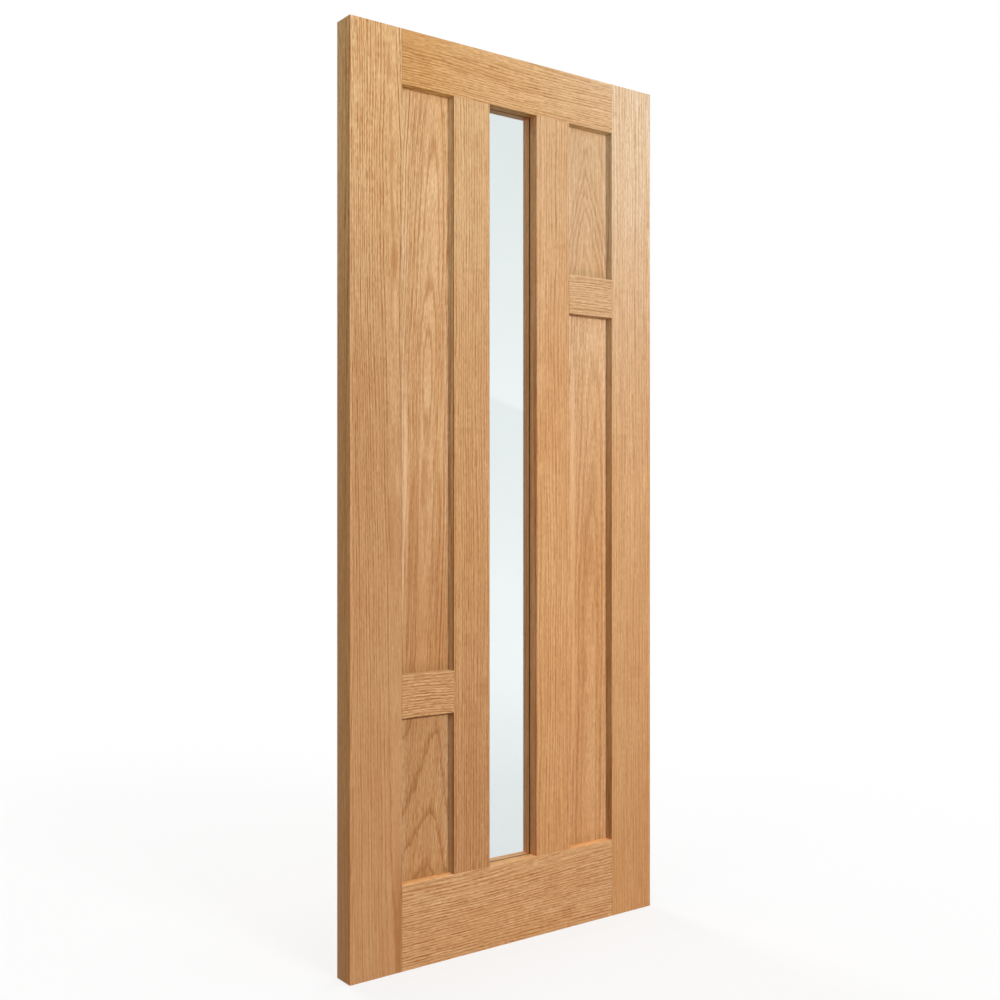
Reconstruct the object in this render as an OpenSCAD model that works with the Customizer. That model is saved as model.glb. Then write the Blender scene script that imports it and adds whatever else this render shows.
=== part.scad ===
// Oak door leaf with one tall glazed strip between two mullions.
// Four flat panels sit in grooves beside the strip, above and below a short
// cross rail in each outer bay: low on the left side, high on the right side.
// X runs along the leaf's width from the hinge edge, Y through its thickness
// from front to back, and Z up. The origin is on the hinge edge, at the foot
// of the leaf and in the middle of its thickness.

/* [Leaf] */
// Width over both edge lippings
leaf_w = 838; // [762:1:926]
// Height from foot to top
leaf_h = 1981; // [1900:1:2100]
// Thickness of the frame members
leaf_t = 54; // [48:1:60]

/* [Frame members] */
// Width of each stile, with its lipping
stile_w = 125; // [95:1:140]
// Width of each mullion beside the glass
mullion_w = 96; // [70:1:115]
// Height of the top rail
top_rail_h = 116; // [90:1:150]
// Height of the bottom rail
bottom_rail_h = 181; // [140:1:240]
// Height of each short cross rail
cross_rail_h = 91; // [60:1:120]
// Visible height of the two short panels
short_panel_h = 350; // [250:1:600]
// Thickness of the solid lipping on each long edge
lipping_t = 8; // [4:0.5:12]
// Chamfer that eases the long edges of the frame members
arris = 0.8; // [0.3:0.1:1.5]

/* [Panels] */
// Thickness of the flat panels
panel_t = 12; // [8:0.5:16]
// Depth of the panel grooves
groove_depth = 12; // [9:0.5:15]

/* [Glazing] */
// Thickness of the glass
glass_t = 6; // [4:0.5:8]
// Depth of the glass behind the front face
glass_setback = 24; // [16:0.5:30]
// Width of the rebate that holds the glass and its beads
rebate_w = 12; // [9:0.5:15]
// Thickness of the glazing tape on each side of the glass
tape_t = 1; // [0.5:0.1:1.5]

/* [Hidden] */

// Clearances between the pieces
panel_play = 0.1;    // on each face of a panel in its groove
panel_gap = 2;       // at each edge of a panel, for movement
tenon_play = 0.1;    // on each face of a tenon
tenon_end_gap = 1;   // at the end of a tenon
glass_gap = 3;       // at each edge of the glass
bead_play = 0.2;     // between a bead and the side of the rebate
overrun = 5;         // how far a cut runs past the surface it opens

// Places worked out from the sizes above
bay_w = (leaf_w - 2 * stile_w - 2 * mullion_w) / 3;
bay_h = leaf_h - top_rail_h - bottom_rail_h;
head_z = leaf_h - top_rail_h;
mullion_x = stile_w + bay_w;
glass_bay_x = mullion_x + mullion_w;
low_cross_rail_z = bottom_rail_h + short_panel_h;
high_cross_rail_z = head_z - short_panel_h - cross_rail_h;

// Joints
groove_w = panel_t + 2 * panel_play;
tenon_t = groove_w - 2 * tenon_play;
tenon_len = groove_depth - tenon_end_gap;
panel_tongue = groove_depth - panel_gap;

// Layers of the glazing, from the front
lip_y = glass_setback - leaf_t / 2;
glass_y = lip_y + tape_t;
back_tape_y = glass_y + glass_t;
bead_y = back_tape_y + tape_t;
bead_w = rebate_w - bead_play;
glass_edge = rebate_w - glass_gap;

// Colours
oak = [0.82, 0.63, 0.45];
light_oak = [0.84, 0.67, 0.49];
panel_oak = [0.80, 0.60, 0.42];
clear_glass = [0.90, 0.94, 0.93, 0.4];
dark_tape = [0.16, 0.13, 0.11];

// One corner of a section: the point itself, or the two ends of its chamfer.
// The outline comes in along one direction and goes on along the other.
function corner(point, back, on, ease) =
    ease > 0 ? [point + ease * back, point + ease * on] : [point];

// Section of a board across its length, with its thickness centred on Y.
// The edges at its low side and its high side are eased by the given chamfers.
function board_section(w, t, low, high) = concat(
    corner([0, -t / 2], [0, 1], [1, 0], low),
    corner([w, -t / 2], [-1, 0], [0, 1], high),
    corner([w, t / 2], [0, -1], [-1, 0], high),
    corner([0, t / 2], [1, 0], [0, -1], low)
);

// An upright board of the given width and length
module board(w, length, low, high) {
    linear_extrude(height = length)
        polygon(board_section(w, leaf_t, low, high));
}

// Turns an upright piece so that it lies along the leaf's width
module lay_across() {
    mirror([1, 0, -1])
        children();
}

// Copies a piece's shape to the other long edge of the leaf
module to_right_side() {
    translate([leaf_w, 0, 0])
        mirror([1, 0, 0])
            children();
}

// Copies the foot of a piece to its head, within the given height
module to_head(height) {
    translate([0, 0, height])
        mirror([0, 0, 1])
            children();
}

// A slot as thick as the panel groove, centred in the thickness
module groove_cut(x0, x1, z0, z1) {
    translate([x0, -groove_w / 2, z0])
        cube([x1 - x0, groove_w, z1 - z0]);
}

// A bar as thick as a tenon, centred in the thickness
module tenon_bar(x0, x1, z0, z1) {
    translate([x0, -tenon_t / 2, z0])
        cube([x1 - x0, tenon_t, z1 - z0]);
}

// A cut for the glazing, from the back of the front lip out to the back face
module rebate_cut(x0, x1, z0, z1) {
    translate([x0, lip_y, z0])
        cube([x1 - x0, leaf_t / 2 - lip_y + overrun, z1 - z0]);
}

// A stile: its panel groove runs out at both ends
module stile() {
    difference() {
        translate([lipping_t, 0, 0])
            board(stile_w - lipping_t, leaf_h, 0, arris);
        groove_cut(stile_w - groove_depth, stile_w + overrun, -overrun, leaf_h + overrun);
    }
}

// A lipping: a solid strip glued along the long edge
module lipping() {
    board(lipping_t, leaf_h, arris, 0);
}

// A top or bottom rail of the given height, with its bay side up.
// Each groove takes the panel and runs on as the mortice for the mullion.
module rail(height) {
    difference() {
        union() {
            translate([stile_w, 0, 0])
                lay_across()
                    board(height, leaf_w - 2 * stile_w, 0, arris);
            tenon_bar(stile_w - tenon_len, leaf_w - stile_w + tenon_len, 0, height);
        }
        rail_groove(height);
        to_right_side()
            rail_groove(height);
        rebate_cut(glass_bay_x - rebate_w, leaf_w - glass_bay_x + rebate_w,
            height - rebate_w, height + overrun);
    }
}

// A rail's groove over the left bay, out through the end of its tenon
module rail_groove(height) {
    groove_cut(stile_w - tenon_len - overrun, glass_bay_x - rebate_w,
        height - groove_depth, height + overrun);
}

// A mullion: grooved towards the panels, rebated from the back for the glass
module mullion() {
    difference() {
        translate([mullion_x, 0, bottom_rail_h])
            board(mullion_w, bay_h, arris, arris);
        groove_cut(mullion_x - overrun, mullion_x + groove_depth,
            bottom_rail_h - overrun, head_z + overrun);
        rebate_cut(glass_bay_x - rebate_w, glass_bay_x + overrun,
            bottom_rail_h - overrun, head_z + overrun);
    }
    tenon_bar(mullion_x + groove_depth, glass_bay_x - rebate_w - tenon_play,
        bottom_rail_h - tenon_len, head_z + tenon_len);
}

// A short cross rail with its foot at z = 0, tenoned into a stile and a mullion
module cross_rail() {
    difference() {
        union() {
            translate([stile_w, 0, 0])
                lay_across()
                    board(cross_rail_h, bay_w, arris, arris);
            tenon_bar(stile_w - tenon_len, mullion_x + tenon_len, 0, cross_rail_h);
        }
        cross_rail_groove();
        to_head(cross_rail_h)
            cross_rail_groove();
    }
}

// The groove along the foot of a cross rail, for the panel below it
module cross_rail_groove() {
    groove_cut(stile_w - tenon_len - overrun, mullion_x + tenon_len + overrun,
        -overrun, groove_depth);
}

// A panel of the left bays, held in the grooves between two heights
module panel(low_z, high_z) {
    translate([stile_w - panel_tongue, -panel_t / 2, low_z - panel_tongue])
        cube([bay_w + 2 * panel_tongue, panel_t, high_z - low_z + 2 * panel_tongue]);
}

// The glazed bay widened all round by the given edge, as a slab
module bay_slab(edge, y, thickness) {
    translate([glass_bay_x - edge, y, bottom_rail_h - edge])
        cube([bay_w + 2 * edge, thickness, bay_h + 2 * edge]);
}

// A tape frame: its inner edge is on the sight line
module tape(y) {
    difference() {
        bay_slab(glass_edge, y, tape_t);
        bay_slab(0, y - overrun, tape_t + 2 * overrun);
    }
}

// An upright bead of the given outer length, mitred at both ends.
// Its outer side is at x = 0 and its eased sight side faces the glass.
module bead(length) {
    intersection() {
        linear_extrude(height = length)
            polygon([
                [0, bead_y],
                [bead_w, bead_y],
                [bead_w, leaf_t / 2 - arris],
                [bead_w - arris, leaf_t / 2],
                [0, leaf_t / 2]
            ]);
        rotate([90, 0, 0])
            linear_extrude(height = 2 * leaf_t, center = true)
                polygon([[0, 0], [bead_w, bead_w], [bead_w, length - bead_w], [0, length]]);
    }
}

// The bead on the left side of the glazed bay
module upright_bead() {
    translate([glass_bay_x - bead_w, 0, bottom_rail_h - bead_w])
        bead(bay_h + 2 * bead_w);
}

// The bead along the foot of the glazed bay
module level_bead() {
    translate([glass_bay_x - bead_w, 0, bottom_rail_h - bead_w])
        lay_across()
            bead(bay_w + 2 * bead_w);
}

module left_stile() {
    color(oak)
        stile();
}

module right_stile() {
    color(light_oak)
        to_right_side()
            stile();
}

module left_edge_lipping() {
    color(oak)
        lipping();
}

module right_edge_lipping() {
    color(light_oak)
        to_right_side()
            lipping();
}

module top_rail() {
    color(light_oak)
        to_head(leaf_h)
            rail(top_rail_h);
}

module bottom_rail() {
    color(oak)
        rail(bottom_rail_h);
}

module left_mullion() {
    color(oak)
        mullion();
}

module right_mullion() {
    color(light_oak)
        to_right_side()
            mullion();
}

module left_cross_rail() {
    color(oak)
        translate([0, 0, low_cross_rail_z])
            cross_rail();
}

module right_cross_rail() {
    color(light_oak)
        to_right_side()
            translate([0, 0, high_cross_rail_z])
                cross_rail();
}

module left_upper_panel() {
    color(panel_oak)
        panel(low_cross_rail_z + cross_rail_h, head_z);
}

module left_lower_panel() {
    color(panel_oak)
        panel(bottom_rail_h, low_cross_rail_z);
}

module right_upper_panel() {
    color(panel_oak)
        to_right_side()
            panel(high_cross_rail_z + cross_rail_h, head_z);
}

module right_lower_panel() {
    color(panel_oak)
        to_right_side()
            panel(bottom_rail_h, high_cross_rail_z);
}

module glass_pane() {
    color(clear_glass)
        bay_slab(glass_edge, glass_y, glass_t);
}

module front_glazing_tape() {
    color(dark_tape)
        tape(lip_y);
}

module back_glazing_tape() {
    color(dark_tape)
        tape(back_tape_y);
}

module left_glazing_bead() {
    color(oak)
        upright_bead();
}

module right_glazing_bead() {
    color(oak)
        to_right_side()
            upright_bead();
}

module top_glazing_bead() {
    color(oak)
        to_head(bottom_rail_h + head_z)
            level_bead();
}

module bottom_glazing_bead() {
    color(oak)
        level_bead();
}

left_stile();
right_stile();
left_edge_lipping();
right_edge_lipping();
top_rail();
bottom_rail();
left_mullion();
right_mullion();
left_cross_rail();
right_cross_rail();
left_upper_panel();
left_lower_panel();
right_upper_panel();
right_lower_panel();
glass_pane();
front_glazing_tape();
back_glazing_tape();
left_glazing_bead();
right_glazing_bead();
top_glazing_bead();
bottom_glazing_bead();
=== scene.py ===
import math

import bmesh
import bpy
from mathutils import Matrix, Vector

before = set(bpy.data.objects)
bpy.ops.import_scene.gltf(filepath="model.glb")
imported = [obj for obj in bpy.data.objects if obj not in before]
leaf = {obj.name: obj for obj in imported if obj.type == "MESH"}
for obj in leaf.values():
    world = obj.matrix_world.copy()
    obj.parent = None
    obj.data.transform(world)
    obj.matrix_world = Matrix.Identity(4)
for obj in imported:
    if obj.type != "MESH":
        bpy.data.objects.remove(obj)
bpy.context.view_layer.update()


# Stiles: the two full-height boards of the leaf, plain-sawn oak veneer on an oak core, sanded
# along the grain and finished with clear satin oil. The left one carries a dark wavy streak
# beside the panels. The panels' grooves run out through both ends of each stile.

class Strand:
    """One value in a finish's nodes. Plain arithmetic on it adds Math nodes to the finish."""

    def __init__(self, tree, socket=None):
        self.tree = tree
        self.socket = socket

    def node(self, kind, settings, sockets, output=0):
        """Adds any other node: its settings first, then a value or a strand for each socket."""
        made = self.tree.nodes.new("ShaderNode" + kind)
        for setting, value in settings.items():
            if setting == "stops":
                bar = made.color_ramp.elements
                while len(bar) < len(value):
                    bar.new(1.0)
                for stop, (position, grey) in zip(bar, value):
                    stop.position = position
                    stop.color = (grey, grey, grey, 1.0)
            elif setting == "interpolation":
                made.color_ramp.interpolation = value
            else:
                setattr(made, setting, value)
        for name, value in sockets.items():
            if isinstance(value, Strand):
                self.tree.links.new(value.socket, made.inputs[name])
            else:
                made.inputs[name].default_value = value
        return Strand(self.tree, made.outputs[output])

    def also(self, output):
        """Another output of the node that this strand comes out of."""
        return Strand(self.tree, self.socket.node.outputs[output])

    def maths(self, operation, *others):
        """A Math node on this strand and up to two more values."""
        return self.node("Math", {"operation": operation}, dict(enumerate((self,) + others)))

    def __add__(self, other):
        return self.maths("ADD", other)

    __radd__ = __add__

    def __mul__(self, other):
        return self.maths("MULTIPLY", other)

    __rmul__ = __mul__

    def __sub__(self, other):
        return self.maths("SUBTRACT", other)

    def __rsub__(self, other):
        return self.node("Math", {"operation": "SUBTRACT"}, {0: other, 1: self})

    def __truediv__(self, other):
        return self.maths("DIVIDE", other)

    def __pow__(self, power):
        return self.maths("POWER", power)

    def between(self, low, high, start=0.0, end=1.0):
        """Follows this strand from start to end, softly, as it goes from low to high."""
        return self.node("MapRange", {"interpolation_type": "SMOOTHSTEP"},
                         {0: self, 1: low, 2: high, 3: start, 4: end})

    def blend(self, first, second, way="MIX"):
        """Goes from the first colour to the second as this strand goes from 0 to 1."""
        return self.node("Mix", {"data_type": "RGBA", "blend_type": way},
                         {0: self, 6: first, 7: second}, 2)

    def tinted(self, tint):
        """This colour times another one."""
        return self.node("Mix", {"data_type": "RGBA", "blend_type": "MULTIPLY"},
                         {0: 1.0, 6: self, 7: tint}, 2)

    def parts(self):
        """The three numbers of a place or a direction."""
        x = self.node("SeparateXYZ", {}, {0: self})
        return x, x.also(1), x.also(2)


def new_finish(name):
    """A material with its shader, the place on the leaf, and which way the face looks."""
    finish = bpy.data.materials.new(name)
    finish.use_nodes = True
    place = Strand(finish.node_tree).node("TexCoord", {}, {}, "Object")
    return finish, finish.node_tree.nodes["Principled BSDF"], place, place.also("Normal")


def feed(node, strands):
    """Leads each strand into the socket of a node that it is named for."""
    for name, strand in strands.items():
        strand.tree.links.new(strand.socket, node.inputs[name])


def dress(names, finish):
    """Gives the leaf's own pieces a finish."""
    for name in names:
        mesh = leaf[name].data
        mesh.materials.clear()
        mesh.materials.append(finish)


def shade(colour, by=(1.0, 1.0, 1.0)):
    """A colour times a tint, with the fourth number that a socket wants."""
    return tuple(c * b for c, b in zip(colour, by)) + (1.0,)


PALE = (0.780, 0.485, 0.240)
BODY = (0.560, 0.290, 0.108)
DARK = (0.340, 0.118, 0.026)
LEAF_FRONT = -0.027
LEAF_MIDDLE = 0.419
GLAZED_HALF = 0.066


def oak(name, upright, heart, figure, spread, tints, seed, face=LEAF_FRONT, lines=0.7, gap=0.0066,
        threads=(0.5, 0.5), ripple=0.0010, wave=0.085, sway=0.006, uneven=0.3, feather=0.20,
        width=0.45, edge=((1.0, 1.1, 1.3),) * 2, edge_depth=0.010, shadow_line=False, below=None,
        arch=None, bold=None, streaks=(), opening=None, head_line=None, dots=None):
    """One board of oak, as a solid pattern whose rings make the figure on its faces, the
    straight grain on its edges and the rings on its ends. Lengths are in metres.

    heart: where the tree's heart lies across the board, at its foot or left end and at the other
    figure: how many rings deep that heart lies below the face, at places along the board
    spread: the width of a ring
    tints: of the foot or left end, the middle and the other end. Besides the board's own tone
    they hold painted light: most boards are paler towards the head, and those at the top
    right hold a painted sheen there
    seed: a number of its own, so that no two boards are alike
    face: where the board's front lies along Y
    lines: how dark the rings are, and width: how much of each ring is dark
    uneven, feather: how far the rings swell in patches, and how frayed they are
    gap: how far apart the fine threads lie, and threads: how dark they are at the two ends
    ripple, wave: how far the grain wavers sideways, and over what length
    sway: how far it bends as a whole
    edge: tints of the sides, at the front and from edge_depth inwards. They are partly painted
    light and shade, which sets how lit each side looks and makes ledges that face up pale
    shadow_line: whether a thin painted shadow line runs along the sides, close to the front
    below: tints of the sides that look down, over the glass and elsewhere. They paint light
    and shade there: warmer and darker over the glass, paler elsewhere
    arch: the bluntness and the slant of pointed figure, where the board has it
    bold: every how many rings one is a dark one, and how dark it is
    streaks: patches, each with its middle across the board and along it, half its width, half
        its length and its weight, which is below nought for a pale one
    opening: on a panel, the places at its left and right beyond which it is palest, and the
    foot of what shows, where it is darkest. The paler, bluer strip beside the frame is
    painted light that offsets the warm light bounced off its walls, and the darker foot is
    painted shade
    head_line: the height of the head of what shows, where a panel is dark under the frame: a
    thin painted shadow line
    dots: the first stopped pin along the board, the pitch, and where they lie across it"""
    finish, shader, place, looks = new_finish(name)
    x, y, z = place.parts()
    look_x, look_y, look_z = looks.parts()
    run, level, end_look, side_look = (z, x, look_z, look_x) if upright else (x, z, look_x, look_z)
    first, last = figure[0][0], figure[-1][0]
    along = (run - first) / (last - first)
    across = level - (along * (heart[1] - heart[0]) + heart[0])
    depth = y - face

    def grain(lane, wide, long, detail=2.0, shift=0.0):
        """Noise in features of wide by long metres, drawn out along the board."""
        spot = place.node("CombineXYZ", {}, {0: lane * (1 / wide) + (seed + shift),
                                             1: depth * (1 / wide), 2: run * (1 / long)})
        return place.node("TexNoise", {}, {"Vector": spot, "Scale": 1.0, "Detail": detail,
                                           "Roughness": 0.55})

    # The rings: how deep the heart lies here, how far out from it this place is, and which ring
    # that makes, with its season from 0 at the ring's start to 1 at its end.
    most = max(rings for _, rings in figure) * 1.25
    rings = along.node("ValToRGB", {"stops": [((at - first) / (last - first), deep / most)
                                              for at, deep in figure],
                                    "interpolation": "CARDINAL"}, {0: along}) * most
    rings = rings + depth * (1 / spread)
    bend = (grain(across, wide=0.30, long=0.55, detail=1.0) - 0.5) * (2 * sway)
    waver = (grain(across, wide=0.030, long=wave, shift=5.0) - 0.5) * (2 * ripple)
    lane = across + bend + waver
    sideways = lane * (1 / spread)
    if arch is None:
        smooth = (sideways * sideways + rings * rings) ** 0.5
        outward = smooth * spread
    else:
        bluntness, slant = arch
        smooth = (sideways * sideways + bluntness ** 2) ** 0.5 - bluntness
        smooth = smooth + sideways * slant + rings
        outward = lane
    swell = grain(across, wide=0.05, long=0.09, detail=1.0, shift=41.0) - 0.5
    fray = grain(across, wide=0.009, long=0.07, detail=1.0, shift=45.0) - 0.5
    fine_fray = grain(across, wide=0.0026, long=0.030, detail=1.0, shift=49.0) - 0.5
    years = smooth + swell * (2 * uneven) + fray * (2 * feather) + fine_fray * (2 * feather)
    year = years.maths("FLOOR")
    season = years.maths("FRACT")
    strength = year.node("TexWhiteNoise", {"noise_dimensions": "1D"}, {"W": year + seed})
    strength = strength ** 2.0 * 0.95 + 0.10
    if bold is not None:
        often, weight = bold
        chosen = ((year + 0.1) / often).maths("FRACT").between(0.9 / often, 1.0 / often, 1.0, 0.0)
        strength = (strength * 0.45).maths("MAXIMUM", chosen * weight)
    early = season.between(0.0, 0.12) * season.between(0.10, width, 1.0, 0.0) * strength
    early = early * grain(lane, wide=0.0030, long=0.045, detail=1.0, shift=9.0).between(
        0.30, 0.62, 0.35, 1.0)

    # The tone of the wood between the rings: fine fibres, long streaks and broad clouds.
    fibre = grain(outward, wide=0.0022, long=0.12, shift=13.0).between(0.30, 0.70)
    streak = grain(outward, wide=0.013, long=0.60, shift=17.0).between(0.25, 0.75)
    cloud = grain(across, wide=0.11, long=0.34, shift=21.0)

    # The fine threads, in three lengths: a comb that follows the rings, dashes and short ticks.
    # Then the pores, most of them in the rings' early wood, and the flecks.
    drift = grain(outward, wide=0.035, long=0.60, detail=1.0, shift=33.0) - 0.5
    count = outward * (1 / gap) + drift * 3.0
    each = count.maths("FLOOR") + seed
    heavy = each.node("TexWhiteNoise", {"noise_dimensions": "1D"}, {"W": each})
    comb = (count.maths("FRACT") - 0.5).maths("ABSOLUTE").between(0.06, 0.32, 1.0, 0.0)
    comb = comb * (heavy * 0.5 + 0.5) * grain(
        outward, wide=0.006, long=0.10, detail=1.0, shift=37.0).between(0.34, 0.60, 0.35, 1.0)
    if arch is None:
        comb = comb * (sideways / smooth).maths("ABSOLUTE").between(0.30, 0.85)
    else:
        comb = comb * 0.4
    dashes = grain(lane, wide=gap * 0.25, long=0.050, detail=0.0, shift=35.0).between(0.42, 0.60)
    ticks = grain(lane, wide=gap * 0.30, long=0.014, detail=0.0, shift=57.0).between(0.42, 0.60)
    line = comb * 0.70 + dashes * 0.30 + ticks * 0.26
    line = line * (along * (threads[1] - threads[0]) + threads[0])
    pores = grain(lane, wide=0.00055, long=0.016, detail=1.0, shift=25.0).between(0.59, 0.69)
    pores = pores * (early * 0.75 + 0.25)
    flecks = grain(lane, wide=0.0011, long=0.020, detail=0.0, shift=29.0).between(0.70, 0.78)

    # The board's ends show rays, which run straight out from the heart.
    end = end_look.maths("ABSOLUTE").between(0.6, 0.9)
    side = side_look.maths("ABSOLUTE").between(0.6, 0.9)
    spokes = (sideways / rings).maths("ARCTANGENT")
    ray_place = place.node("CombineXYZ", {}, {0: spokes * 130.0, 1: years * 0.3, 2: 0.0})
    rays = place.node("TexNoise", {}, {"Vector": ray_place, "Scale": 1.0, "Detail": 1.0})
    rays = rays.between(0.55, 0.68) * end

    # The colours, laid one over another.
    tone = (streak - 0.5) * 0.36 + (fibre - 0.5) * 0.34 + 0.30
    wood = tone.blend(shade(PALE), shade(BODY))
    wood = (cloud.between(0.35, 0.70) * 0.30).blend(wood, shade(BODY, (1.08, 1.0, 0.92)))
    wood = line.blend(wood, shade(DARK))
    wood = (early * lines + end * 0.12).blend(wood, shade(DARK))
    wood = (pores * (end * 0.2 + 0.42)).blend(wood, shade(DARK, (0.55, 0.5, 0.5)))
    wood = (flecks * 0.16).blend(wood, shade(DARK, (0.9, 0.85, 0.8)))
    wood = (rays * 0.30).blend(wood, shade(PALE))
    if streaks:
        front = look_y.between(-0.9, -0.6, 1.0, 0.0)
        frayed = (grain(across, wide=0.004, long=0.05, shift=53.0) - 0.5) * 0.9
    for middle, height, half, reach, weight in streaks:
        away = (((level - middle) / half) ** 2.0 + ((run - height) / reach) ** 2.0) ** 0.5 + frayed
        patch = away.between(0.35, 1.1, abs(weight), 0.0) * front
        wood = patch.blend(wood, shade(PALE, (1.12, 1.12, 1.12)) if weight < 0
                           else shade(BODY, (0.80, 0.66, 0.58)))

    # The tints of the sides, partly painted light and shade, and those along the board, which add
    # painted light and sheen to its own tone.
    near = depth.between(0.0, edge_depth).blend(shade(edge[0]), shade(edge[1]))
    # A thin painted shadow line along the sides, just behind the front.
    if shadow_line:
        near = depth.between(0.0024, 0.0044, 1.0, 0.0).blend(near, shade((0.42, 0.30, 0.20)))
    # Painted light and shade on the sides that look down: warmer and darker over the glass, paler
    # elsewhere.
    if below is not None:
        under = (x - LEAF_MIDDLE).maths("ABSOLUTE").between(
            GLAZED_HALF + 0.002, GLAZED_HALF + 0.004).blend(shade(below[0]), shade(below[1]))
        near = look_z.between(-0.9, -0.6, 1.0, 0.0).blend(near, under, "MULTIPLY")
    wood = side.blend(wood, near, "MULTIPLY")
    # Along the board: its own tone, with painted light that makes most boards paler towards the
    # head, and a painted sheen at the top right.
    tint = along.between(0.0, 0.5).blend(shade(tints[0]), shade(tints[1]))
    tint = along.between(0.5, 1.0).blend(tint, shade(tints[2]))
    wood = wood.tinted(tint)
    # Painted light and shade on a panel: paler and bluer beside the frame, to offset the warm
    # light bounced off its walls, and darker at the foot of what shows.
    if opening is not None:
        left, right, foot = opening
        beside = (x - left).maths("MINIMUM", (x - right) * -1.0)
        wood = beside.between(0.0, 0.018, 1.0, 0.0).blend(
            wood, shade((1.07, 1.22, 1.42)), "MULTIPLY")
        wood = (z - foot).between(0.0, 0.035, 1.0, 0.0).blend(
            wood, shade((0.76, 0.81, 0.79)), "MULTIPLY")
    # A thin painted shadow line on the panel, just under the head of what shows.
    if head_line is not None:
        wood = (z - head_line).between(-0.0085, -0.0060).blend(
            wood, shade((0.38, 0.30, 0.22)), "MULTIPLY")

    hollow = pores * 0.12 + early * 0.03 + line * 0.03 - fibre * 0.02
    gloss = fibre * 0.10 + pores * 0.20 + end * 0.15 + 0.42
    if dots is not None:
        first_dot, pitch, dots_level = dots
        nearest = (((run - first_dot) / pitch + 0.5).maths("FRACT") - 0.5) * pitch
        off_line = level - dots_level
        spot = (nearest * nearest + off_line * off_line) ** 0.5
        filled = spot.between(0.0009, 0.0012, 1.0, 0.0) * look_y.between(0.6, 0.9)
        wood = (filled * 0.75).blend(wood, shade(DARK, (0.8, 0.75, 0.7)))
        hollow = hollow + filled * 0.10

    bump = hollow.node("Bump", {}, {"Strength": 1.0, "Distance": 0.001, "Height": 0.0 - hollow})
    feed(shader, {"Base Color": wood, "Roughness": gloss, "Normal": bump})
    shader.inputs["Specular IOR Level"].default_value = 0.12
    return finish


# Tints of the right stile and its lipping: their own tone, and a painted sheen that makes them
# pale and cool towards the head.
right_tone_and_sheen = ((0.87, 0.75, 0.67), (1.04, 1.00, 1.00), (1.26, 1.61, 2.30))

dress(["left_stile"], oak(
    "oak_left_stile", upright=True, heart=(0.118, 0.095),
    figure=[(0.0, 4.2), (0.45, 3.4), (0.95, 2.9), (1.20, 2.5), (1.45, 2.15), (1.525, 1.8),
            (1.60, 2.1), (1.65, 2.1), (1.715, 1.8), (1.77, 2.1), (1.981, 2.9)],
    spread=0.0075, tints=((0.80, 0.71, 0.69), (0.87, 0.82, 0.79), (1.25, 1.43, 1.58)), seed=1.7,
    lines=0.55, uneven=0.15, feather=0.12, gap=0.0056, threads=(0.40, 1.15),
    streaks=((0.0920, 1.895, 0.007, 0.050, 0.75), (0.0965, 1.786, 0.006, 0.045, 0.70),
             (0.0995, 1.712, 0.007, 0.045, 0.85), (0.0985, 1.640, 0.004, 0.060, 0.60),
             (0.1020, 1.575, 0.005, 0.055, 0.70), (0.1050, 1.500, 0.008, 0.055, 0.85),
             (0.1080, 1.390, 0.008, 0.060, -0.30), (0.1150, 1.030, 0.010, 0.040, -0.30),
             (0.1000, 0.940, 0.018, 0.090, 0.25), (0.1160, 0.110, 0.014, 0.190, 0.45))))
dress(["right_stile"], oak(
    "oak_right_stile", upright=True, heart=(0.99, 0.99),
    figure=[(0.0, 14.0), (1.0, 12.5), (1.981, 13.5)],
    spread=0.0045, tints=right_tone_and_sheen, seed=4.3, lines=0.5, gap=0.0088, threads=(0.45, 0.70),
    # Its side tints darken the wall beside the right panels, in part as painted shade.
    edge=((0.70, 0.81, 0.83), (0.79, 0.92, 1.00)),
    streaks=((0.820, 1.037, 0.008, 0.035, -0.30), (0.815, 0.850, 0.014, 0.160, 0.25))))


# Edge lippings: strips of solid oak, 8 mm thick, glued along the two long edges of the leaf to
# cover the core, so that the edges can be planed to fit the frame.

# Tints of the lippings' sides, the leaf's long edges: partly painted shade, which makes them
# warmer and less blue.
lipping_side = ((1.06, 0.93, 0.67), (1.04, 1.02, 0.84))

dress(["left_edge_lipping"], oak(
    "oak_left_lipping", upright=True, heart=(-0.12, -0.12),
    figure=[(0.0, 9.0), (0.9, 7.2), (1.981, 8.3)],
    spread=0.0090, tints=((0.80, 0.69, 0.64), (0.91, 0.87, 0.85), (1.25, 1.45, 1.66)), seed=8.9,
    lines=0.22, threads=(0.40, 1.10), edge=lipping_side, edge_depth=0.050))
dress(["right_edge_lipping"], oak(
    "oak_right_lipping", upright=True, heart=(0.95, 0.95),
    figure=[(0.0, 8.0), (1.1, 9.6), (1.981, 8.8)],
    spread=0.0090, tints=right_tone_and_sheen, seed=12.1,
    lines=0.22, gap=0.0088, threads=(0.45, 0.70), edge=lipping_side, edge_depth=0.050))


# Rails: the wide boards across the leaf's head and foot, stub-tenoned and glued into the
# grooves of the stiles. Their grain lies level, in long slow waves.

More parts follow.
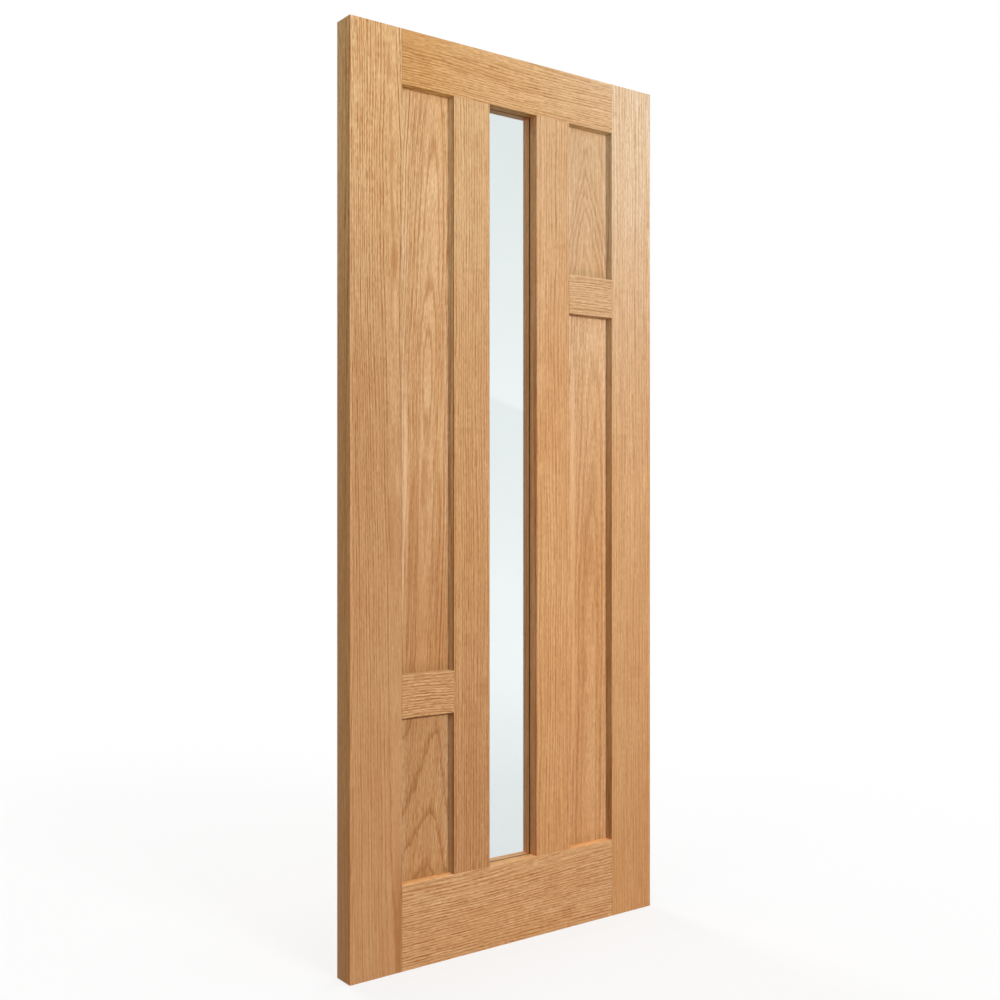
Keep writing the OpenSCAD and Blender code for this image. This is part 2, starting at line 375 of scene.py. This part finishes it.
dress(["top_rail"], oak(
    "oak_top_rail", upright=False, heart=(1.985, 1.985),
    figure=[(0.114, 6.6), (0.22, 6.3), (0.30, 5.4), (0.42, 3.6), (0.52, 2.8), (0.724, 2.5)],
    spread=0.0060, tints=((1.07, 1.06, 0.88), (1.14, 1.21, 1.20), (1.18, 1.37, 1.66)), seed=17.3,
    lines=0.55, gap=0.0058, threads=(1.00, 0.85), ripple=0.0014, wave=0.06, sway=0.008,
    streaks=((1.945, 0.150, 0.010, 0.060, 0.30), (1.905, 0.200, 0.006, 0.080, 0.30),
             (1.950, 0.300, 0.004, 0.050, 0.45), (1.932, 0.390, 0.004, 0.050, 0.45),
             (1.917, 0.480, 0.004, 0.060, 0.40), (1.958, 0.385, 0.004, 0.030, 0.40)),
    # Its side tints are partly painted light, and those below paint light and shade on its
    # underside.
    edge=((1.05, 1.20, 1.35),) * 2, below=((1.32, 1.02, 0.66), (1.32, 1.56, 1.75))))
dress(["bottom_rail"], oak(
    "oak_bottom_rail", upright=False, heart=(0.195, 0.195),
    figure=[(0.114, 3.4), (0.22, 3.0), (0.30, 3.2), (0.42, 4.6), (0.56, 5.6), (0.724, 6.0)],
    spread=0.0068, tints=((0.99, 0.98, 1.02), (1.01, 0.99, 1.01), (1.00, 0.99, 1.03)), seed=23.9,
    lines=0.55, gap=0.0058, threads=(1.00, 0.95), ripple=0.0016, wave=0.06, sway=0.010,
    streaks=((0.165, 0.185, 0.007, 0.050, 0.40), (0.174, 0.320, 0.007, 0.060, 0.35),
             (0.060, 0.250, 0.003, 0.110, 0.35), (0.135, 0.270, 0.004, 0.090, -0.30)),
    # Its pale side tints paint light on the sill that faces up.
    edge=((1.66, 1.68, 1.58),) * 2))


# Mullions: the two uprights between the rails, each side of the glazed strip. They are tenoned
# into both rails, grooved on one side for the panels and rebated on the other for the glass.

dress(["left_mullion"], oak(
    "oak_left_mullion", upright=True, heart=(0.53, 0.53),
    figure=[(0.17, 13.0), (1.0, 11.6), (1.876, 12.6)],
    spread=0.0046, tints=((0.79, 0.68, 0.63), (0.96, 0.92, 0.88), (1.12, 1.24, 1.33)), seed=31.1,
    # Its side tints are partly painted shade on the wall beside the left panels, and a painted
    # shadow line runs along that wall by the front.
    lines=0.5, gap=0.0068, threads=(0.75, 0.75), edge=((0.86, 1.04, 1.20), (1.03, 1.32, 1.62)),
    shadow_line=True))
dress(["right_mullion"], oak(
    "oak_right_mullion", upright=True, heart=(0.36, 0.36),
    figure=[(0.17, 12.0), (1.1, 13.2), (1.876, 12.2)],
    spread=0.0048, tints=((0.96, 0.85, 0.78), (1.06, 0.99, 0.93), (1.10, 1.19, 1.34)), seed=37.7,
    lines=0.5, gap=0.0080, threads=(0.60, 0.65), edge=((0.99, 0.89, 0.82), (1.10, 1.00, 0.91)),
    streaks=((0.495, 1.061, 0.008, 0.020, -0.30),)))


# Cross rails: the short boards that divide each column of panels, tenoned between a stile and
# a mullion, the left one low and the right one high.

dress(["left_cross_rail"], oak(
    "oak_left_cross_rail", upright=False, heart=(0.43, 0.43),
    figure=[(0.114, 11.0), (0.19, 10.2), (0.268, 11.4)],
    spread=0.0052, tints=((1.02, 1.04, 1.09),) * 3, seed=43.3,
    gap=0.0058, threads=(1.12, 1.12), ripple=0.0016, wave=0.045, sway=0.008,
    # Its pale side tints paint light on the ledge that faces up.
    edge=((1.40, 1.75, 1.95), (1.25, 1.50, 1.65))))
dress(["right_cross_rail"], oak(
    "oak_right_cross_rail", upright=False, heart=(1.62, 1.62),
    figure=[(0.57, 10.0), (0.65, 10.9), (0.724, 10.1)],
    spread=0.0048, tints=((1.09, 1.20, 1.38),) * 3, seed=47.9,
    lines=0.5, gap=0.0062, threads=(0.85, 0.85), ripple=0.0016, wave=0.045, sway=0.008,
    # Its pale side tints are in part painted light on its top and underside.
    edge=((1.30, 1.45, 1.60), (1.10, 1.20, 1.35))))


# Panels: flat boards 12 mm thick, faced with crown-cut oak veneer, which lie loose in the
# grooves of the frame. Each shows the pointed arches of a board cut near the tree's heart.
# Their colour holds painted light beside the frame and painted shade at the foot of what
# shows, and the left lower one a painted shadow line under its cross rail.

panel_front = -0.006

dress(["left_upper_panel"], oak(
    "oak_left_upper_panel", upright=True, heart=(0.186, 0.222),
    figure=[(0.612, 3.6), (0.92, 3.3), (1.10, 3.25), (1.17, 3.0), (1.25, 2.8),
            (1.333, 3.0), (1.434, 4.0), (1.58, 4.5), (1.73, 5.0), (1.875, 5.7)],
    spread=0.0075, tints=((0.82, 0.71, 0.62), (1.07, 1.11, 1.19), (1.21, 1.35, 1.52)), seed=53.7,
    face=panel_front, lines=0.85, threads=(0.60, 0.95), ripple=0.0016, uneven=0.15, feather=0.14,
    bold=(1.0, 0.70), opening=(0.137, 0.257, 0.622),
    streaks=((0.217, 1.755, 0.006, 0.030, 0.45), (0.205, 1.450, 0.010, 0.030, 0.45),
             (0.205, 1.540, 0.014, 0.070, 0.20), (0.209, 1.140, 0.005, 0.060, 0.30),
             (0.192, 1.055, 0.005, 0.050, 0.60), (0.190, 1.000, 0.006, 0.035, 0.60),
             (0.147, 1.050, 0.009, 0.220, -0.45), (0.141, 0.800, 0.004, 0.160, -0.40),
             (0.170, 0.900, 0.012, 0.200, 0.25), (0.237, 1.130, 0.010, 0.120, -0.25))))
dress(["left_lower_panel"], oak(
    "oak_left_lower_panel", upright=True, heart=(0.200, 0.230),
    figure=[(0.171, 1.5), (0.197, 2.0), (0.31, 4.0), (0.483, 6.0), (0.541, 6.6)],
    spread=0.0240, tints=((0.84, 0.78, 0.75),) * 3, seed=59.3,
    face=panel_front, lines=0.72, threads=(0.85, 0.85), ripple=0.0036, wave=0.040, sway=0.008,
    uneven=0.2, feather=0.30, width=0.65, arch=(0.20, 0.35), bold=(2.0, 0.95),
    opening=(0.137, 0.257, 0.181), head_line=0.531,
    streaks=((0.192, 0.190, 0.010, 0.018, 0.55), (0.166, 0.500, 0.006, 0.035, 0.30))))
dress(["right_upper_panel"], oak(
    "oak_right_upper_panel", upright=True, heart=(0.646, 0.650),
    figure=[(1.505, 2.0), (1.70, 5.8), (1.875, 9.0)],
    spread=0.0120, tints=((1.06, 1.18, 1.41), (1.08, 1.22, 1.48), (1.10, 1.26, 1.52)), seed=61.9,
    face=panel_front, lines=0.50, gap=0.0088, threads=(0.60, 0.60), ripple=0.0030, wave=0.10,
    uneven=0.5, feather=0.28, width=0.80, arch=(0.30, -0.1), opening=(0.592, 0.713, 1.515),
    streaks=((0.645, 1.530, 0.008, 0.020, 0.40), (0.622, 1.565, 0.005, 0.025, 0.30))))
dress(["right_lower_panel"], oak(
    "oak_right_lower_panel", upright=True, heart=(0.655, 0.678),
    figure=[(0.171, 3.4), (0.53, 3.5), (0.80, 3.6), (0.965, 4.0), (1.10, 4.5), (1.264, 5.0),
            (1.434, 5.6)],
    spread=0.0095, tints=((0.93, 0.82, 0.77), (0.99, 0.89, 0.81), (1.17, 1.28, 1.52)), seed=67.1,
    face=panel_front, lines=0.52, gap=0.0088, threads=(0.60, 0.80), ripple=0.0020, feather=0.14,
    bold=(1.0, 0.55), opening=(0.592, 0.713, 0.181),
    streaks=((0.678, 1.150, 0.007, 0.050, 0.35), (0.656, 0.890, 0.020, 0.120, 0.28),
             (0.684, 0.742, 0.007, 0.012, 0.50), (0.671, 0.700, 0.004, 0.060, 0.30),
             (0.648, 0.600, 0.008, 0.060, 0.40), (0.650, 0.520, 0.008, 0.025, 0.40),
             (0.609, 0.980, 0.010, 0.420, -0.50), (0.612, 0.560, 0.008, 0.200, -0.40),
             (0.645, 0.400, 0.010, 0.120, 0.22), (0.690, 1.000, 0.005, 0.200, -0.20))))


# Glazing tapes: thin strips of brown foam tape, one on the rebate and one under the beads,
# which bed the glass and show as a fine dark line all round it.

tape, tape_shader, tape_place, _ = new_finish("foam_tape")
cells = tape_place.node("TexNoise", {}, {"Vector": tape_place, "Scale": 900.0, "Detail": 3.0})
tape_colour = cells.between(0.3, 0.7).blend(shade((0.720, 0.280, 0.060)),
                                            shade((0.820, 0.350, 0.085)))
tape_skin = cells.node("Bump", {}, {"Strength": 0.6, "Distance": 0.0002, "Height": cells})
feed(tape_shader, {"Base Color": tape_colour, "Roughness": cells * 0.15 + 0.65,
                   "Normal": tape_skin})
dress(["front_glazing_tape", "back_glazing_tape"], tape)


# Glass: one tall pane of clear toughened glass, 6 mm thick, laid into the rebate from the back.
# Rolling and hardening leave it very slightly uneven.

glass, glass_shader, glass_place, _ = new_finish("clear_glass")
film = glass_place.node("TexNoise", {}, {"Vector": glass_place, "Scale": 9.0, "Detail": 4.0})
roll = glass_place.node("TexNoise", {}, {"Vector": glass_place, "Scale": 3.5, "Detail": 1.0})
glass_colour = film.between(0.3, 0.7).blend(shade((0.775, 0.834, 0.832)),
                                            shade((0.785, 0.846, 0.844)))
glass_skin = roll.node("Bump", {}, {"Strength": 0.15, "Distance": 0.001, "Height": roll})
feed(glass_shader, {"Base Color": glass_colour, "Roughness": film * 0.010, "Normal": glass_skin})
glass_shader.inputs["Transmission Weight"].default_value = 1.0
glass_shader.inputs["IOR"].default_value = 1.5
dress(["glass_pane"], glass)


# Glazing beads: four square oak strips with mitred ends, pinned into the rebate behind the
# glass. Each pin is punched below the surface and stopped with a dot of filler.

bead_front = 0.005
upright_bead_tints = ((0.98, 0.88, 0.80), (1.04, 0.97, 0.92), (1.26, 1.23, 1.18))
level_bead_tints = ((1.20, 1.14, 1.08),) * 3
# Pale tints for the beads' sides, in part painted light on the sides that show through the glass;
# the right and bottom beads have paler ones still.
bead_side = ((1.20, 1.14, 1.31),) * 2

dress(["left_glazing_bead"], oak(
    "oak_left_bead", upright=True, heart=(0.40, 0.40),
    figure=[(0.17, 9.0), (1.0, 8.0), (1.877, 8.8)],
    spread=0.0036, tints=upright_bead_tints, seed=71.3, face=bead_front, lines=0.5,
    edge=bead_side, dots=(0.2, 0.185, 0.3465)))
dress(["right_glazing_bead"], oak(
    "oak_right_bead", upright=True, heart=(0.43, 0.43),
    figure=[(0.17, 8.0), (1.0, 9.1), (1.877, 8.3)],
    spread=0.0036, tints=upright_bead_tints, seed=73.9, face=bead_front, lines=0.5,
    edge=((1.50, 1.42, 1.60),) * 2, dots=(0.2, 0.185, 0.4915)))
dress(["top_glazing_bead"], oak(
    "oak_top_bead", upright=False, heart=(1.93, 1.93),
    figure=[(0.34, 8.0), (0.42, 8.6), (0.50, 8.1)],
    spread=0.0036, tints=level_bead_tints, seed=79.7, face=bead_front, lines=0.5,
    edge=bead_side, dots=(0.374, 0.09, 1.8715)))
dress(["bottom_glazing_bead"], oak(
    "oak_bottom_bead", upright=False, heart=(0.11, 0.11),
    figure=[(0.34, 7.0), (0.42, 7.5), (0.50, 7.1)],
    spread=0.0036, tints=level_bead_tints, seed=83.3, face=bead_front, lines=0.5,
    edge=((1.50, 1.42, 1.50),) * 2, dots=(0.374, 0.09, 0.1745)))


# Studio floor: a plain pale floor under the foot of the leaf, painted matt. It keeps the leaf's
# shadow, and runs into the white behind.

def stand(name, data):
    """Puts a new object that is made of this data into the scene."""
    piece = bpy.data.objects.new(name, data)
    bpy.context.scene.collection.objects.link(piece)
    return piece


def mesh_of(name, shape):
    """The mesh of a finished shape."""
    mesh = bpy.data.meshes.new(name)
    shape.to_mesh(mesh)
    shape.free()
    return mesh


def hide(piece, *rays):
    """Keeps an object out of the sight of these kinds of ray."""
    for ray in rays:
        setattr(piece, "visible_" + ray, False)


def seen_by(tree, *rays):
    """Is 1 for these kinds of ray, and 0 for all the others."""
    path = Strand(tree).node("LightPath", {}, {})
    seen = path.also("Is " + rays[0] + " Ray")
    for ray in rays[1:]:
        seen = seen.maths("MAXIMUM", path.also("Is " + ray + " Ray"))
    return seen


WHITE = (1.0, 1.0, 1.0, 1.0)

shape = bmesh.new()
bmesh.ops.create_circle(shape, cap_ends=True, segments=96, radius=30.0)
floor = stand("studio_floor", mesh_of("studio_floor", shape))
hide(floor, "glossy")
floor_finish, floor_shader, floor_place, _ = new_finish("studio_paint")
sight = seen_by(floor_finish.node_tree, "Camera", "Transmission")
paint = sight.blend(shade((0.50, 0.50, 0.50)), shade((0.88, 0.88, 0.88)))
mottle = floor_place.node("TexNoise", {}, {"Vector": floor_place, "Scale": 60.0, "Detail": 2.0})
feed(floor_shader, {"Base Color": paint, "Roughness": mottle * 0.1 + 0.85})
floor_shader.inputs["Specular IOR Level"].default_value = 0.1
away = floor_place.node("VectorMath", {"operation": "LENGTH"}, {0: floor_place}, 1)
haze = floor_place.node("Emission", {}, {"Color": WHITE, "Strength": sight})
pale = away.between(0.9, 3.2, 0.72, 1.0)
painted = Strand(floor_finish.node_tree, floor_shader.outputs[0])
far_floor = pale.node("MixShader", {}, {0: pale, 1: painted, 2: haze})
feed(floor_finish.node_tree.nodes["Material Output"], {"Surface": far_floor})
floor.data.materials.append(floor_finish)


# Lamps: square soft ones, which light the leaf from the front, the back, both sides and
# overhead and never show themselves, and one that gives nothing but sheen.

def lamp(name, stands, faces, size, power):
    """A soft square lamp that stands at one point and faces another."""
    light = bpy.data.lights.new(name, "AREA")
    light.size = size
    light.energy = power
    piece = stand(name, light)
    piece.location = stands
    piece.rotation_euler = (Vector(faces) - Vector(stands)).to_track_quat("-Z", "Y").to_euler()
    hide(piece, "camera", "glossy", "transmission")
    return piece


lamp("soft_lamp_front", (1.2, -11.0, 2.6), (0.42, 0.0, 1.1), size=3.0, power=912.0)
lamp("soft_lamp_back", (0.9, 11.0, 2.6), (0.42, 0.0, 1.1), size=3.0, power=900.0)
lamp("soft_lamp_left", (-5.0, -1.2, 2.2), (0.0, 0.0, 1.1), size=2.5, power=60.0)
lamp("soft_lamp_right", (5.8, 1.2, 2.2), (0.838, 0.0, 1.1), size=2.5, power=60.0)
lamp("soft_lamp_overhead", (0.42, -0.3, 7.0), (0.42, 0.0, 1.0), size=2.0, power=130.0)
sheen = lamp("sheen_lamp", (6.9, -5.4, 4.8), (0.8, 0.0, 1.8), size=2.4, power=260.0)
sheen.visible_glossy = True
hide(sheen, "diffuse")


# Sweep card: a tall white card in front of the leaf, lit in a curve. It shows in nothing but
# reflections, and draws the pale curved edge across the middle of the glass.

card_x_middle, card_y_middle, card_z_middle = 2.34, -2.56, 1.0
card_half_width, card_half_height = 1.4, 2.2
card_turn = math.radians(36.9)
sweep_aside, sweep_height, sweep_radius = 1.16, 4.23, 3.0

shape = bmesh.new()
bmesh.ops.create_grid(shape, x_segments=1, y_segments=1, size=1.0)
bmesh.ops.scale(shape, vec=(card_half_width, card_half_height, 1.0), verts=shape.verts)
for turn, axis in ((math.radians(90.0), "X"), (card_turn, "Z")):
    bmesh.ops.rotate(shape, cent=(0.0, 0.0, 0.0), verts=shape.verts,
                     matrix=Matrix.Rotation(turn, 3, axis))
bmesh.ops.translate(shape, verts=shape.verts,
                    vec=(card_x_middle, card_y_middle, card_z_middle))
card = stand("sweep_card", mesh_of("sweep_card", shape))
hide(card, "camera", "diffuse", "transmission", "shadow", "volume_scatter")
card_finish, _, card_place, _ = new_finish("sweep_light")
card_x, card_y, card_z = card_place.parts()
aside = (card_x - card_x_middle) * 0.80 + (card_y - card_y_middle) * 0.60
reach = ((aside - sweep_aside) ** 2.0 + (card_z - sweep_height) ** 2.0) ** 0.5
upper = reach.between(sweep_radius - 0.01, sweep_radius + 0.02, 1.0, 0.0)
above = card_z.node("MapRange", {}, {0: card_z, 1: 1.45, 2: 2.85, 3: 2.40, 4: 0.0})
below = card_z.between(0.2, 1.45, 2.85, 1.05) * card_z.between(-0.60, 0.3, 0.0, 1.0)
glow = upper * above + (1.0 - upper) * below
sweep = card_place.node("Emission", {}, {"Color": WHITE, "Strength": glow})
feed(card_finish.node_tree.nodes["Material Output"], {"Surface": sweep})
card.data.materials.append(card_finish)


# Room: plain white all round for the camera, for reflections and through the glass, and a
# softer white where it lights the leaf.

room = bpy.data.worlds.new("white_room")
bpy.context.scene.world = room
room.use_nodes = True
backdrop = room.node_tree.nodes["Background"]
backdrop.inputs["Color"].default_value = WHITE
white = seen_by(room.node_tree, "Camera", "Glossy", "Transmission")
feed(backdrop, {"Strength": white * 0.62 + 0.38})


# Camera: level, at half the leaf's height, to the left of the leaf and looking across it. Its
# lens is a little shorter than the usual 50 mm.

lens = bpy.data.cameras.new("camera")
lens.lens = 44.374
lens.sensor_width = 36.0
lens.shift_y = 0.0002
camera = stand("camera", lens)
camera.location = (-1.2516, -2.2273, 0.9903)
camera.rotation_euler = (math.radians(90.0), 0.0, math.radians(-36.573))
bpy.context.scene.camera = camera
bpy.context.scene.view_settings.view_transform = "Standard"
